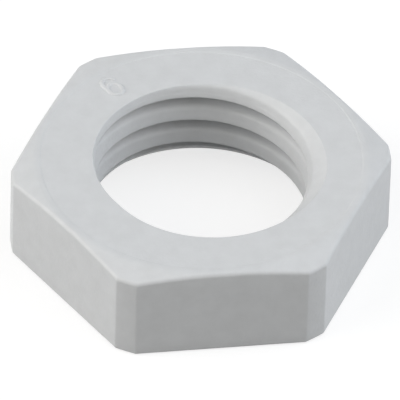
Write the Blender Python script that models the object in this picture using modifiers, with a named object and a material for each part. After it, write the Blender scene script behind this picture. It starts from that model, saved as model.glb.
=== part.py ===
"""Hexagonal locknut of a cable gland, moulded in light grey polyamide.

The nut lies on its flat bearing face, with the chamfered face up and the
thread axis on Z. The origin is the centre of the bearing face, and one
corner of the hexagon points along +X.
"""

import math

import bmesh
import bpy

MM = 0.001

# Hexagonal body
ACROSS_FLATS = 17.0 * MM
HEIGHT = 5.1 * MM
# how far the rounded corners stand out beyond the flats, in radius
CORNER_REACH = 1.01 * MM
EDGE_ROUNDING = 0.15 * MM
EDGE_SEGMENTS = 2
# edges that turn less than this, such as the cone's inner rim, aren't rounded
ROUNDED_FROM_ANGLE = math.radians(22.0)

# Shallow cone round the upper face. The land is what is left of it inside
# the rounded edge at the middle of each flat.
TOP_FACE_LAND = 0.02 * MM
TOP_CONE_ANGLE = math.radians(16.0)

# Metric internal thread, right hand, 60 degrees between its flanks. The ring
# wall is left between the thread's root and the middle of each flat.
THREAD_PITCH = 1.5 * MM
THREAD_DEPTH = 0.78 * MM
RING_WALL = 2.41 * MM
THREAD_CREST_DIAMETER = ACROSS_FLATS - 2.0 * (RING_WALL + THREAD_DEPTH)
THREAD_ROOT_FLAT = 0.12 * MM
FLANK_ANGLE = math.radians(30.0)
# height of a crest's lower edge at the corner on +X
THREAD_START = 1.075 * MM

# Countersink under the bearing face. The crest never ends in a feather edge
# under the upper face: where it would be thinner than the lip, its side is
# cut straight up.
COUNTERSINK_RIM = 0.37 * MM
COUNTERSINK_ANGLE = math.radians(41.0)
LIP_THICKNESS = 0.16 * MM
LIP_CLEARANCE = 0.003 * MM

# Facets round the axis, and how far each cutter runs past what it cuts
FACETS = 72
OVERRUN = 0.6 * MM
WELD = 0.001 * MM
SHARP_FROM_ANGLE = math.radians(25.0)

# Hexagon: from the middle of a flat to a corner
HALF_SECTOR = math.radians(30.0)


def clear_scene():
    for obj in list(bpy.data.objects):
        bpy.data.objects.remove(obj, do_unlink=True)


def new_collection(name):
    collection = bpy.data.collections.new(name)
    bpy.context.scene.collection.children.link(collection)
    return collection


def moulded_plastic():
    material = bpy.data.materials.new("polyamide_grey")
    material.use_nodes = True
    shader = material.node_tree.nodes["Principled BSDF"]
    shader.inputs["Base Color"].default_value = (0.60, 0.62, 0.62, 1.0)
    shader.inputs["Roughness"].default_value = 0.45
    shader.inputs["Metallic"].default_value = 0.0
    return material


# Profile turned round Z, as an open surface. With a lead it rises as a
# right hand helix, and neighbouring turns are joined where they meet.
def turned_surface(name, profile, turns, lead):
    mesh = bpy.data.meshes.new(name)
    edges = [(i, i + 1) for i in range(len(profile) - 1)]
    mesh.from_pydata([(r, 0.0, z) for r, z in profile], edges, [])
    line = bpy.data.objects.new(name, mesh)
    bpy.context.scene.collection.objects.link(line)

    screw = line.modifiers.new("Turn", "SCREW")
    screw.axis = "Z"
    screw.angle = math.tau
    screw.iterations = turns
    screw.screw_offset = lead
    screw.steps = FACETS
    screw.render_steps = FACETS
    screw.use_merge_vertices = lead == 0.0
    screw.merge_threshold = WELD

    depsgraph = bpy.context.evaluated_depsgraph_get()
    surface = bpy.data.meshes.new_from_object(line.evaluated_get(depsgraph))
    surface.name = name
    bpy.data.objects.remove(line, do_unlink=True)

    bm = bmesh.new()
    bm.from_mesh(surface)
    bmesh.ops.remove_doubles(bm, verts=bm.verts, dist=WELD)
    return surface, bm


# Rims filled with flat end faces
def close_flat(bm):
    rims = [edge for edge in bm.edges if edge.is_boundary]
    bmesh.ops.holes_fill(bm, edges=rims, sides=0)


# Rims that follow a helix, each drawn to a point on the axis
def close_to_axis(bm):
    heights = [vert.co.z for vert in bm.verts]
    middle = 0.5 * (min(heights) + max(heights))
    for side in (-1.0, 1.0):
        rim = []
        for edge in bm.edges:
            if edge.is_boundary and side * (edge.verts[0].co.z - middle) > 0.0:
                rim.append(edge)
        drawn = bmesh.ops.extrude_edge_only(bm, edges=rim)["geom"]
        tip = [part for part in drawn if isinstance(part, bmesh.types.BMVert)]
        height = sum(vert.co.z for vert in tip) / len(tip)
        bmesh.ops.pointmerge(bm, verts=tip, merge_co=(0.0, 0.0, height))


def turned_cutter(name, profile, collection, turns=1, lead=0.0, offset=0.0):
    mesh, bm = turned_surface(name, profile, turns, lead)
    if lead == 0.0:
        close_flat(bm)
    else:
        close_to_axis(bm)
    bmesh.ops.recalc_face_normals(bm, faces=bm.faces)
    bm.to_mesh(mesh)
    bm.free()
    mesh.shade_smooth()
    mesh.set_sharp_from_angle(angle=SHARP_FROM_ANGLE)

    cutter = bpy.data.objects.new(name, mesh)
    cutter.rotation_euler.z = offset
    cutter.display_type = "WIRE"
    cutter.hide_render = True
    collection.objects.link(cutter)
    return cutter


def add_boolean(target, cutter, operation):
    boolean = target.modifiers.new(cutter.name, "BOOLEAN")
    boolean.operation = operation
    boolean.solver = "EXACT"
    boolean.object = cutter
    return boolean


# Hexagonal bar, longer than the nut, with a corner on +X
def hexagonal_bar(collection):
    bpy.ops.mesh.primitive_cylinder_add(
        vertices=6,
        radius=0.5 * ACROSS_FLATS / math.cos(HALF_SECTOR),
        depth=HEIGHT + 2.0 * OVERRUN,
        location=(0.0, 0.0, 0.5 * HEIGHT),
        rotation=(0.0, 0.0, HALF_SECTOR),
    )
    bar = bpy.context.object
    for owner in list(bar.users_collection):
        owner.objects.unlink(bar)
    collection.objects.link(bar)
    bar.name = "locknut"
    bar.data.name = "locknut"
    return bar


# Turned envelope: end faces, the shallow cone and the rounded corners
def envelope(collection):
    corner = 0.5 * ACROSS_FLATS + CORNER_REACH
    face = 0.5 * ACROSS_FLATS - EDGE_ROUNDING - TOP_FACE_LAND
    shoulder = HEIGHT - (corner - face) * math.tan(TOP_CONE_ANGLE)
    profile = [(face, HEIGHT), (corner, shoulder), (corner, 0.0)]
    return turned_cutter("turned_envelope", profile, collection)


# Core that leaves the thread: one pitch of the thread form, swept as a helix
def thread_core(collection):
    crest = 0.5 * THREAD_CREST_DIAMETER
    root = crest + THREAD_DEPTH
    flank = THREAD_DEPTH * math.tan(FLANK_ANGLE)
    below = math.ceil((THREAD_START + OVERRUN) / THREAD_PITCH)
    top = THREAD_START - below * THREAD_PITCH
    turns = math.ceil((HEIGHT + OVERRUN - top) / THREAD_PITCH) + 1
    profile = [
        (crest, top),
        (root, top - flank),
        (root, top - flank - THREAD_ROOT_FLAT),
        (crest, top - flank - THREAD_ROOT_FLAT - flank),
        (crest, top - THREAD_PITCH),
    ]
    return turned_cutter("thread_core", profile, collection, turns, THREAD_PITCH)


# Cone under the bearing face, opened a little wider than the thread's root
def countersink(collection):
    rim = 0.5 * THREAD_CREST_DIAMETER + THREAD_DEPTH + COUNTERSINK_RIM
    inner = 0.5 * THREAD_CREST_DIAMETER - OVERRUN
    slope = math.tan(COUNTERSINK_ANGLE)
    profile = [
        (inner, (rim - inner) / slope),
        (rim + OVERRUN * slope, -OVERRUN),
    ]
    half_facet = math.pi / FACETS
    return turned_cutter("countersink", profile, collection, offset=half_facet)


# Section of the threaded core at the lip's lower edge, drawn straight up. It
# keeps a small clearance to the thread's own wall.
def blunt_lip(core, collection):
    bm = bmesh.new()
    bm.from_mesh(core.data)
    bmesh.ops.bisect_plane(
        bm,
        geom=bm.verts[:] + bm.edges[:] + bm.faces[:],
        plane_co=(0.0, 0.0, HEIGHT - LIP_THICKNESS),
        plane_no=(0.0, 0.0, 1.0),
        clear_inner=True,
        clear_outer=True,
    )
    bmesh.ops.remove_doubles(bm, verts=bm.verts, dist=WELD)
    section = bmesh.ops.contextual_create(bm, geom=bm.edges)["faces"]
    raised = bmesh.ops.extrude_face_region(bm, geom=section, use_keep_orig=True)["geom"]
    raised = [part for part in raised if isinstance(part, bmesh.types.BMVert)]
    bmesh.ops.translate(bm, verts=raised, vec=(0.0, 0.0, LIP_THICKNESS + OVERRUN))
    drawn_in = 1.0 - 2.0 * LIP_CLEARANCE / THREAD_CREST_DIAMETER
    bmesh.ops.scale(bm, verts=bm.verts, vec=(drawn_in, drawn_in, 1.0))
    bmesh.ops.recalc_face_normals(bm, faces=bm.faces)
    mesh = bpy.data.meshes.new("blunt_lip")
    bm.to_mesh(mesh)
    bm.free()

    cutter = bpy.data.objects.new("blunt_lip", mesh)
    cutter.display_type = "WIRE"
    cutter.hide_render = True
    collection.objects.link(cutter)
    return cutter


def build():
    clear_scene()
    parts = new_collection("cable_gland_locknut")
    cutters = new_collection("cutters")

    nut = hexagonal_bar(parts)
    nut.data.materials.append(moulded_plastic())
    add_boolean(nut, envelope(cutters), "INTERSECT")

    rounding = nut.modifiers.new("Edge rounding", "BEVEL")
    rounding.width = EDGE_ROUNDING
    rounding.segments = EDGE_SEGMENTS
    rounding.limit_method = "ANGLE"
    rounding.angle_limit = ROUNDED_FROM_ANGLE
    rounding.use_clamp_overlap = False

    core = thread_core(cutters)
    add_boolean(nut, core, "DIFFERENCE")
    add_boolean(nut, countersink(cutters), "DIFFERENCE")
    add_boolean(nut, blunt_lip(core, cutters), "DIFFERENCE")


build()
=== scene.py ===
import math

import bpy
import numpy as np
from mathutils import Matrix, Vector


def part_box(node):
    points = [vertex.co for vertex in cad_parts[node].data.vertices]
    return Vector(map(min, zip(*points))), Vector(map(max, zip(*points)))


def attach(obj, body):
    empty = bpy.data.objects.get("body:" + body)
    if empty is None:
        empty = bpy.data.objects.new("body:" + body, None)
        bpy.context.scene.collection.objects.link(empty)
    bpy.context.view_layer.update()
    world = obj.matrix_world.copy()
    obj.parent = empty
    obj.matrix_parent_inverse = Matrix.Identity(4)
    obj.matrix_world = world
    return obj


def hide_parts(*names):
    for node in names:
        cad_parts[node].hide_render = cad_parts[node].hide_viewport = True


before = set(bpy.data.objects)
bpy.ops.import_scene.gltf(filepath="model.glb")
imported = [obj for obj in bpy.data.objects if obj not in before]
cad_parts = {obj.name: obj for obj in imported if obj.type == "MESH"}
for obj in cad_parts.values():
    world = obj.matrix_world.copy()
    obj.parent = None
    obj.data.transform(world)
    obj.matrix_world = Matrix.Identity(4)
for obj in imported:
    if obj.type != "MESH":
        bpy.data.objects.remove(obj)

MM = 0.001
QUARTER_TURN = 0.5 * math.pi
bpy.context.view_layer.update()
NUT_LOW, NUT_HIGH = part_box("locknut")

# Hexagon of the solid nut, with a corner on +X and a flat on +Y
HALF_FLATS = NUT_HIGH.y
CORNER_RADIUS = NUT_HIGH.x
HEIGHT = NUT_HIGH.z - NUT_LOW.z
HALF_SECTOR = math.radians(30.0)
SECTORS = 6

# Roundings: lower edge, upper edge and the upright edges beside each corner
LOWER_ROUNDING = 0.23 * MM
UPPER_ROUNDING = 0.24 * MM
UPRIGHT_ROUNDING = 0.3 * MM

# Upper face: a shallow cone, with a soft start
CONE_START = HALF_FLATS - 0.165 * MM
CONE_SLOPE = math.tan(math.radians(16.0))
CONE_SOFTNESS = 0.06 * MM

# Low step in the upper face, down to the face round the bore
STEP_RADIUS = 8.046 * MM
STEP_WIDTH = 0.025 * MM
STEP_HEIGHT = 0.02 * MM
FACE_HEIGHT = HEIGHT - STEP_HEIGHT

# Thread: right hand, 60 degrees between its flanks
PITCH = 1.5 * MM
CREST_RADIUS = 5.31 * MM
GROOVE_WIDTH = 1.024 * MM
FLANK_SLOPE = math.tan(math.radians(30.0))
LAND_SLOPE = math.tan(math.radians(20.0))
ROOT_SOFTNESS = 0.02 * MM
UPPER_CREST_SOFTNESS = 0.12 * MM
LOWER_CREST_SOFTNESS = 0.025 * MM
# height of a crest's lower edge at the corner on +X
THREAD_START = 1.084 * MM

# Ends of the bore: the upper mouth with its blunt lip, and the countersink
LIP = 0.13 * MM
MOUTH_ROUNDING = 0.05 * MM
COUNTERSINK_RADIUS = 6.46 * MM
COUNTERSINK_SLOPE = math.tan(math.radians(41.0))
COUNTERSINK_SOFTNESS = 0.03 * MM

# Mould number on the upper face, a plain raised 6 whose top points to a corner
FIGURE_RADIUS = 6.72 * MM
FIGURE_ANGLE = math.radians(122.9)
FIGURE_UP = math.radians(120.0)
BOWL_HALF_WIDTH = 0.355 * MM
BOWL_HALF_HEIGHT = 0.425 * MM
HOOK_CENTRE = 0.53 * MM
HOOK_END = math.radians(15.0)
STROKE_HALF_WIDTH = 0.13 * MM
STROKE_HEIGHT = 0.075 * MM
STROKE_SUNK = 0.125 * MM
STROKE_HALF_HEIGHT = 0.5 * (STROKE_HEIGHT + STROKE_SUNK)

# Mesh steps
FLAT_STEPS = 20
UPRIGHT_STEPS = 4
CORNER_STEPS = 4
EDGE_STEPS = 8
WALL_STEPS = 6
BALL_SAMPLES = 161
BORE_STEP = 0.027 * MM
HOOK_STEPS = 20
BOWL_STEPS = 48
STROKE_SIDES = 16
CAP_STEPS = 5

# Rings of the mesh, as shares of the way across each face
BEARING_RINGS = (0.0, 0.1, 0.4, 0.7, 0.9)
CONE_RINGS = (0.2, 0.4, 0.6, 0.8, 0.92)
FACE_RINGS = (0.25, 0.5, 0.75, 0.9, 1.0)
# rings at the low step, in step widths from its middle
STEP_RINGS = (3.0, 1.8, 1.1, 0.5, 0.0, -0.5, -1.1, -1.8, -3.0)

# Camera, from the outline of the nut in the photo
CAMERA_AZIMUTH = math.radians(-8.461)
CAMERA_ELEVATION = math.radians(42.35)
CAMERA_ROLL = math.radians(1.807)
CAMERA_DISTANCE = 510.09 * MM
CAMERA_TARGET = Vector((-0.017, -0.191, 2.5)) * MM
CAMERA_NEAR = 0.2 * CAMERA_DISTANCE
CAMERA_FAR = 20.0 * CAMERA_DISTANCE
IMAGE_SIDE = 400
PIXELS_PER_MM = 20.017
SENSOR_WIDTH = 36.0

# Surface of the plastic
DARK_GREY = (0.594, 0.603, 0.612, 1.0)
LIGHT_GREY = (0.628, 0.638, 0.648, 1.0)
LOW_ROUGHNESS = 0.42
HIGH_ROUGHNESS = 0.54
CLOUD_SIZE = 0.8 * MM
CLOUD_DETAIL = 6.0
RIPPLE_SIZE = 0.5 * MM
RIPPLE_DETAIL = 1.0
RIPPLE_DEPTH = 0.002 * MM
GRAIN_SIZE = 0.16 * MM
GRAIN_DETAIL = 2.0
GRAIN_DEPTH = 0.012 * MM
# most of a noise's values lie between these two
NOISE_LOW = 0.3
NOISE_HIGH = 0.7

# Studio in metres, with each lamp's name, azimuth from +X, elevation, power and colour
LAMP_DISTANCE = 0.6
LAMP_SIZE = 0.75
WHITE = (1.0, 1.0, 1.0)
COOL = (0.86, 0.92, 1.0)
WARM = (1.0, 0.97, 0.91)
LAMPS = (
    ("left_low_softbox", 180.0, 18.0, 3.0, WHITE),
    ("left_high_softbox", 180.0, 38.0, 1.65, WARM),
    ("right_low_softbox", 0.0, 20.0, 1.4, COOL),
    ("right_high_softbox", 0.0, 50.0, 1.4, COOL),
    ("front_softbox", 315.0, 28.0, 1.35, WARM),
    ("top_softbox", 0.0, 90.0, 0.5, WHITE),
)

# Surroundings: the light that they send to the nut, and how bright they look
AMBIENT = 0.05
SHOWN_WHITE = 1.0

# Pale floor, and how much whiter it looks than the light that it sends back
FLOOR_SIDE = 2.0
FLOOR_COLOUR = (0.32, 0.32, 0.32, 1.0)
SHOWN_GLOW = 0.74


def soft_max(a, b, softness):
    """The larger of two values, with a rounded change from one to the other."""
    return 0.5 * (a + b + np.sqrt((a - b) ** 2 + softness ** 2))


def half_outline():
    """Plan outline from the middle of a flat to the corner, the flat facing +X.

    It comes as places and the directions that the wall faces there.
    """
    offset = HALF_FLATS - UPRIGHT_ROUNDING
    side = math.sqrt((CORNER_RADIUS - UPRIGHT_ROUNDING) ** 2 - offset ** 2)
    lean = math.atan2(side, offset)
    places, facing = [], []
    for i in range(FLAT_STEPS):
        places.append((HALF_FLATS, side * i / FLAT_STEPS))
        facing.append(0.0)
    for i in range(UPRIGHT_STEPS):
        turn = lean * i / UPRIGHT_STEPS
        places.append((
            offset + UPRIGHT_ROUNDING * math.cos(turn),
            side + UPRIGHT_ROUNDING * math.sin(turn),
        ))
        facing.append(turn)
    for i in range(CORNER_STEPS + 1):
        turn = lean + (HALF_SECTOR - lean) * i / CORNER_STEPS
        places.append((CORNER_RADIUS * math.cos(turn), CORNER_RADIUS * math.sin(turn)))
        facing.append(turn)
    return np.array(places), np.array(facing)


def outline():
    """Whole plan outline, counterclockwise, as places and outward normals.

    The half outline is mirrored about the middle of its flat, and then turned
    to each of the flats.
    """
    places, facing = half_outline()
    mirrored = places[:0:-1] * (1.0, -1.0)
    places = np.vstack([mirrored, places[:-1]])
    facing = np.concatenate([-facing[:0:-1], facing[:-1]])
    sides, turns = [], []
    for sector in range(SECTORS):
        turn = (2 * sector + 1) * HALF_SECTOR
        spin = np.array([[math.cos(turn), math.sin(turn)], [-math.sin(turn), math.cos(turn)]])
        sides.append(places @ spin)
        turns.append(facing + turn)
    facing = np.concatenate(turns)
    return np.vstack(sides), np.column_stack([np.cos(facing), np.sin(facing)])


def top_height(radius):
    """Height of the upper face at a radius."""
    beyond = radius - CONE_START
    cone = CONE_SLOPE * soft_max(beyond, 0.0, CONE_SOFTNESS)
    step = 0.5 * STEP_HEIGHT * (1.0 + np.tanh((STEP_RADIUS - radius) / STEP_WIDTH))
    return HEIGHT - cone - step


def thread_radius(angle, height):
    """Radius of the threaded wall at an angle and a height.

    The crest's land leans back a little. Where the crest would end in a lip
    thinner than LIP under the face round the bore, its side is cut straight up.
    """
    edge = THREAD_START + PITCH * angle / math.tau
    cut = np.maximum(height - (FACE_HEIGHT - LIP), 0.0)
    width = GROOVE_WIDTH + cut
    middle = edge + cut - 0.5 * width
    above = (height - middle + 0.5 * PITCH) % PITCH - 0.5 * PITCH
    away = np.sqrt(above ** 2 + ROOT_SOFTNESS ** 2)
    depth = (0.5 * width - away) / FLANK_SLOPE
    softness = np.where(above < 0.0, UPPER_CREST_SOFTNESS, LOWER_CREST_SOFTNESS)
    over_edge = (height - edge) % PITCH
    land = np.where(over_edge < PITCH - 0.5 * GROOVE_WIDTH, LAND_SLOPE * over_edge, 0.0)
    thread = CREST_RADIUS + soft_max(depth, land, softness)
    cone = COUNTERSINK_RADIUS - COUNTERSINK_SLOPE * height
    return soft_max(thread, cone, COUNTERSINK_SOFTNESS)


def ring(places, height):
    """Ring of points over places of the plan."""
    return np.column_stack([places, np.broadcast_to(height, len(places))])


def polar_ring(angle, radius, height):
    """Ring of points at angles round the bore's axis."""
    radius = np.broadcast_to(radius, len(angle))
    height = np.broadcast_to(height, len(angle))
    return np.column_stack([radius * np.cos(angle), radius * np.sin(angle), height])


def lower_edge(places, normals):
    """Rings of the lower edge, from the bearing face to the wall."""
    rings = []
    for i in range(EDGE_STEPS + 1):
        turn = QUARTER_TURN * (1.0 - i / EDGE_STEPS)
        inset = LOWER_ROUNDING * (1.0 - math.cos(turn))
        rings.append(ring(places - inset * normals, LOWER_ROUNDING * (1.0 - math.sin(turn))))
    return rings


def upper_edge(places, normals):
    """Rings of the upper edge, from the wall to the upper face.

    A ball of the rounding's radius rolls along under the upper face and against
    the wall.
    """
    inward = np.linspace(0.0, 2.0 * UPPER_ROUNDING, BALL_SAMPLES)[:, None]
    reach = np.linalg.norm(places[None] - inward[..., None] * normals[None], axis=2)
    lift = np.sqrt(np.maximum(UPPER_ROUNDING ** 2 - (UPPER_ROUNDING - inward) ** 2, 0.0))
    centre = top_height(reach) - lift
    touch = np.argmin(centre, axis=0)
    height = centre[touch, np.arange(len(places))]
    last = np.arccos(1.0 - inward[touch, 0] / UPPER_ROUNDING)
    rings = []
    for i in range(EDGE_STEPS + 1):
        turn = last * i / EDGE_STEPS
        inset = UPPER_ROUNDING * (1.0 - np.cos(turn))
        rings.append(ring(places - inset[:, None] * normals, height + UPPER_ROUNDING * np.sin(turn)))
    return rings


def mouth_ball(angle):
    """Ball that rolls round the upper mouth, under the face and against the thread.

    It comes as the radius of its centre and the height where it meets the thread.
    """
    low = FACE_HEIGHT - MOUTH_ROUNDING
    samples = np.linspace(low - MOUTH_ROUNDING, FACE_HEIGHT, BALL_SAMPLES)[:, None]
    lift = np.sqrt(np.maximum(MOUTH_ROUNDING ** 2 - (samples - low) ** 2, 0.0))
    centre = thread_radius(angle[None], samples) + lift
    touch = np.argmax(centre, axis=0)
    return centre[touch, np.arange(len(angle))], samples[touch, 0]


def bore_heights():
    """Heights of the bore's rings, from the mouth to just over the bearing face."""
    steps = 2 * EDGE_STEPS
    turns = [math.pi * i / steps for i in range(1, steps)]
    mouth = [FACE_HEIGHT - MOUTH_ROUNDING * (1.0 - math.cos(turn)) for turn in turns]
    below = FACE_HEIGHT - 2.0 * MOUTH_ROUNDING
    count = round(below / BORE_STEP)
    return mouth + [below * (1.0 - i / count) for i in range(count)]


def bore_rings(angle):
    """Rings of the bore: the rounded mouth, the thread and the countersink."""
    centre, contact = mouth_ball(angle)
    low = FACE_HEIGHT - MOUTH_ROUNDING
    rings = []
    for height in bore_heights():
        wall = thread_radius(angle, height)
        lift = math.sqrt(max(MOUTH_ROUNDING ** 2 - (height - low) ** 2, 0.0))
        radius = np.where(height > contact, centre - lift, wall)
        rings.append(polar_ring(angle, radius, height))
    return rings


def face_rings(angle, edge):
    """Rings of the upper face, from the rounded edge to the mouth."""
    start = np.linalg.norm(edge[:, :2], axis=1)
    inside = CONE_START - 2.0 * CONE_SOFTNESS
    rings = []
    for share in CONE_RINGS:
        radius = start + (inside - start) * share
        rings.append(polar_ring(angle, radius, top_height(radius)))
    step = [STEP_RADIUS + STEP_WIDTH * widths for widths in STEP_RINGS]
    for radius in [inside] + step:
        rings.append(polar_ring(angle, radius, top_height(radius)))
    mouth, _ = mouth_ball(angle)
    for share in FACE_RINGS:
        radius = step[-1] + (mouth - step[-1]) * share
        rings.append(polar_ring(angle, radius, FACE_HEIGHT))
    return rings


def bearing_rings(angle, edge):
    """Rings of the bearing face, from the countersink outward."""
    outer = np.linalg.norm(edge[:, :2], axis=1)
    rings = []
    for share in BEARING_RINGS:
        radius = COUNTERSINK_RADIUS + (outer - COUNTERSINK_RADIUS) * share
        rings.append(polar_ring(angle, radius, 0.0))
    return rings


def quads_between(rings, columns, bands):
    """Quads from each ring to the next.

    With as many bands as rings, the last ring joins the first.
    """
    row, column = np.meshgrid(np.arange(bands), np.arange(columns), indexing="ij")
    next_row = (row + 1) % rings
    next_column = (column + 1) % columns
    quads = np.stack([
        row * columns + column,
        row * columns + next_column,
        next_row * columns + next_column,
        next_row * columns + column,
    ], axis=-1)
    return quads.reshape(-1, 4).tolist()


def nut_mesh():
    """Points and faces of the nut, ring by ring along its section."""
    places, normals = outline()
    angle = np.arctan2(places[:, 1], places[:, 0])
    bottom = lower_edge(places, normals)
    top = upper_edge(places, normals)

    rings = bearing_rings(angle, bottom[0])
    rings += bottom
    for i in range(1, WALL_STEPS):
        rings.append(bottom[-1] + (top[0] - bottom[-1]) * (i / WALL_STEPS))
    rings += top
    rings += face_rings(angle, top[-1])
    rings += bore_rings(angle)
    return np.vstack(rings), quads_between(len(rings), len(angle), len(rings))


def figure_line():
    """Middle line of the raised 6, upright: a hook, a straight stem and an oval bowl."""
    hook = np.linspace(HOOK_END, math.pi, HOOK_STEPS)
    bowl = np.linspace(math.pi, 3.0 * math.pi, BOWL_STEPS)
    over = np.column_stack([
        BOWL_HALF_WIDTH * np.cos(hook),
        BOWL_HALF_WIDTH * np.sin(hook) + HOOK_CENTRE,
    ])
    around = np.column_stack([BOWL_HALF_WIDTH * np.cos(bowl), BOWL_HALF_HEIGHT * np.sin(bowl)])
    return np.vstack([over, around])


def capped_line():
    """Line with a few more places past each end, where the stroke narrows to a round cap.

    It comes as places, directions along the line, and shares of the full stroke.
    """
    line = figure_line()
    along = np.gradient(line, axis=0)
    along /= np.linalg.norm(along, axis=1)[:, None]
    turn = QUARTER_TURN * np.arange(1, CAP_STEPS) / CAP_STEPS
    reach = STROKE_HALF_WIDTH * np.sin(turn)[:, None]
    before = line[0] - reach[::-1] * along[0]
    after = line[-1] + reach * along[-1]
    places = np.vstack([before, line, after])
    ends = (np.tile(along[0], (len(turn), 1)), along, np.tile(along[-1], (len(turn), 1)))
    share = np.concatenate([np.cos(turn[::-1]), np.ones(len(line)), np.cos(turn)])
    return places, np.vstack(ends), share


def figure_plan(flat):
    """Places of the upright figure, turned and moved to its place on the upper face."""
    up = np.array([math.cos(FIGURE_UP), math.sin(FIGURE_UP)])
    right = np.array([up[1], -up[0]])
    middle = FIGURE_RADIUS * np.array([math.cos(FIGURE_ANGLE), math.sin(FIGURE_ANGLE)])
    return middle + flat[..., :1] * right + flat[..., 1:] * up


def figure_mesh():
    """Points and faces of the raised figure: an oval section swept along its line.

    Most of the section is sunk in the upper face.
    """
    places, along, share = capped_line()
    across = np.column_stack([-along[:, 1], along[:, 0]])
    around = math.tau * np.arange(STROKE_SIDES) / STROKE_SIDES
    wide = STROKE_HALF_WIDTH * share[:, None] * np.cos(around)
    high = STROKE_HALF_HEIGHT * share[:, None] * np.sin(around)
    plan = figure_plan(places[:, None] + wide[..., None] * across[:, None])
    height = FACE_HEIGHT - STROKE_SUNK + STROKE_HALF_HEIGHT + high
    points = np.concatenate([plan, height[..., None]], axis=2).reshape(-1, 3)
    rings = len(places)
    faces = quads_between(rings, STROKE_SIDES, rings - 1)
    faces.append(list(range(STROKE_SIDES))[::-1])
    faces.append(list(range((rings - 1) * STROKE_SIDES, rings * STROKE_SIDES)))
    return points, faces


def new_piece(name, points, faces):
    """Smoothly shaded object, made of points and faces."""
    mesh = bpy.data.meshes.new(name)
    mesh.from_pydata(points.tolist(), [], faces)
    mesh.shade_smooth()
    piece = bpy.data.objects.new(name, mesh)
    bpy.context.scene.collection.objects.link(piece)
    return piece


def add_noise(tree, coordinates, size, detail):
    """Noise over the piece's own coordinates, with features of one size."""
    noise = tree.nodes.new("ShaderNodeTexNoise")
    noise.inputs["Scale"].default_value = 1.0 / size
    noise.inputs["Detail"].default_value = detail
    tree.links.new(coordinates.outputs["Object"], noise.inputs["Vector"])
    return noise.outputs["Fac"]


def add_range(tree, noise, low, high):
    """Value spread between two limits by a noise."""
    spread = tree.nodes.new("ShaderNodeMapRange")
    spread.inputs["From Min"].default_value = NOISE_LOW
    spread.inputs["From Max"].default_value = NOISE_HIGH
    spread.inputs["To Min"].default_value = low
    spread.inputs["To Max"].default_value = high
    tree.links.new(noise, spread.inputs["Value"])
    return spread.outputs["Result"]


def add_tones(tree, noise, dark, light):
    """Colour between two tones, by a noise."""
    tones = tree.nodes.new("ShaderNodeValToRGB")
    tones.color_ramp.elements[0].position = NOISE_LOW
    tones.color_ramp.elements[0].color = dark
    tones.color_ramp.elements[1].position = NOISE_HIGH
    tones.color_ramp.elements[1].color = light
    tree.links.new(noise, tones.inputs["Fac"])
    return tones.outputs["Color"]


def add_bump(tree, noise, depth):
    """Relief that follows a noise, down to a depth."""
    bump = tree.nodes.new("ShaderNodeBump")
    bump.inputs["Distance"].default_value = depth
    tree.links.new(noise, bump.inputs["Height"])
    return bump


def moulded_plastic():
    """Light grey polyamide as moulded: softly clouded, with a fine satin grain."""
    material = bpy.data.materials.new("moulded_polyamide")
    material.use_nodes = True
    tree = material.node_tree
    shader = tree.nodes["Principled BSDF"]
    coordinates = tree.nodes.new("ShaderNodeTexCoord")
    cloud = add_noise(tree, coordinates, CLOUD_SIZE, CLOUD_DETAIL)
    grain = add_noise(tree, coordinates, GRAIN_SIZE, GRAIN_DETAIL)
    ripple = add_noise(tree, coordinates, RIPPLE_SIZE, RIPPLE_DETAIL)

    colour = add_tones(tree, cloud, DARK_GREY, LIGHT_GREY)
    roughness = add_range(tree, grain, LOW_ROUGHNESS, HIGH_ROUGHNESS)
    tree.links.new(colour, shader.inputs["Base Color"])
    tree.links.new(roughness, shader.inputs["Roughness"])
    fine = add_bump(tree, grain, GRAIN_DEPTH)
    broad = add_bump(tree, ripple, RIPPLE_DEPTH)
    tree.links.new(broad.outputs["Normal"], fine.inputs["Normal"])
    tree.links.new(fine.outputs["Normal"], shader.inputs["Normal"])
    return material


def add_lamp(name, azimuth, elevation, power, colour):
    """Round softbox that faces the nut."""
    light = bpy.data.lights.new(name, "AREA")
    light.shape = "DISK"
    light.size = LAMP_SIZE
    light.energy = power
    light.color = colour
    turn, tilt = math.radians(azimuth), math.radians(elevation)
    away = Vector((
        math.cos(tilt) * math.cos(turn),
        math.cos(tilt) * math.sin(turn),
        math.sin(tilt),
    ))
    lamp = bpy.data.objects.new(name, light)
    lamp.location = LAMP_DISTANCE * away
    lamp.rotation_euler = away.to_track_quat("Z", "Y").to_euler()
    bpy.context.scene.collection.objects.link(lamp)


def shown_rays(tree):
    """1 for what is seen directly, in a mirror image or through something clear, else 0."""
    path = tree.nodes.new("ShaderNodeLightPath")
    shown = path.outputs["Is Camera Ray"]
    for kind in ("Is Glossy Ray", "Is Transmission Ray"):
        either = tree.nodes.new("ShaderNodeMath")
        either.operation = "MAXIMUM"
        tree.links.new(shown, either.inputs[0])
        tree.links.new(path.outputs[kind], either.inputs[1])
        shown = either.outputs[0]
    return shown


def floor_material():
    """Matt floor that, to the camera and in mirror images, looks whiter than it is."""
    material = bpy.data.materials.new("pale_floor")
    material.use_nodes = True
    tree = material.node_tree
    shader = tree.nodes["Principled BSDF"]
    shader.inputs["Base Color"].default_value = FLOOR_COLOUR
    shader.inputs["Roughness"].default_value = 1.0
    shader.inputs["Specular IOR Level"].default_value = 0.0
    glow = tree.nodes.new("ShaderNodeEmission")
    glow.inputs["Strength"].default_value = SHOWN_GLOW
    both = tree.nodes.new("ShaderNodeAddShader")
    gate = tree.nodes.new("ShaderNodeMixShader")
    tree.links.new(shader.outputs[0], both.inputs[0])
    tree.links.new(glow.outputs[0], both.inputs[1])
    tree.links.new(shown_rays(tree), gate.inputs[0])
    tree.links.new(shader.outputs[0], gate.inputs[1])
    tree.links.new(both.outputs[0], gate.inputs[2])
    tree.links.new(gate.outputs[0], tree.nodes["Material Output"].inputs["Surface"])
    return material


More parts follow.
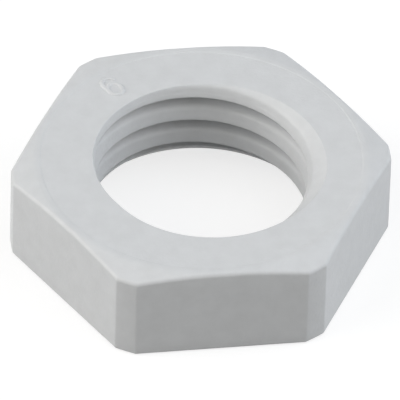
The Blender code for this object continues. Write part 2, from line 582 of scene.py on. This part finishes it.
def stage():
    """Plain floor under the nut, which catches its shadow."""
    bpy.ops.mesh.primitive_plane_add(size=FLOOR_SIDE)
    floor = bpy.context.object
    floor.name = "floor"
    floor.data.materials.append(floor_material())


def world_light():
    """Surroundings: faint as a light, and white to the camera and in mirror images."""
    world = bpy.data.worlds.new("studio")
    bpy.context.scene.world = world
    world.use_nodes = True
    tree = world.node_tree
    ambient = tree.nodes["Background"]
    white = tree.nodes.new("ShaderNodeBackground")
    for background, strength in ((ambient, AMBIENT), (white, SHOWN_WHITE)):
        background.inputs["Color"].default_value = (*WHITE, 1.0)
        background.inputs["Strength"].default_value = strength
    mix = tree.nodes.new("ShaderNodeMixShader")
    tree.links.new(shown_rays(tree), mix.inputs[0])
    tree.links.new(ambient.outputs[0], mix.inputs[1])
    tree.links.new(white.outputs[0], mix.inputs[2])
    tree.links.new(mix.outputs[0], tree.nodes["World Output"].inputs["Surface"])


def make_camera():
    """Camera at the photo's place, turned about the nut's axis, tilted and rolled."""
    data = bpy.data.cameras.new("camera")
    data.sensor_width = SENSOR_WIDTH
    data.lens = PIXELS_PER_MM * (CAMERA_DISTANCE / MM) * SENSOR_WIDTH / IMAGE_SIDE
    data.clip_start = CAMERA_NEAR
    data.clip_end = CAMERA_FAR
    camera = bpy.data.objects.new("camera", data)
    bpy.context.scene.collection.objects.link(camera)
    turn = Matrix.Rotation(CAMERA_AZIMUTH, 4, "Z")
    tilt = Matrix.Rotation(QUARTER_TURN - CAMERA_ELEVATION, 4, "X")
    roll = Matrix.Rotation(CAMERA_ROLL, 4, "Z")
    away = Matrix.Translation((0.0, 0.0, CAMERA_DISTANCE))
    camera.matrix_world = turn @ Matrix.Translation(CAMERA_TARGET) @ tilt @ away @ roll
    bpy.context.scene.camera = camera


make_camera()
world_light()
stage()
for lamp in LAMPS:
    add_lamp(*lamp)

plastic = moulded_plastic()
nut = new_piece("moulded_nut", *nut_mesh())
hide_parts("locknut")
figure = new_piece("raised_figure", *figure_mesh())
for piece in (nut, figure):
    piece.data.materials.append(plastic)
    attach(piece, "root")

bpy.context.scene.view_settings.view_transform = "Standard"
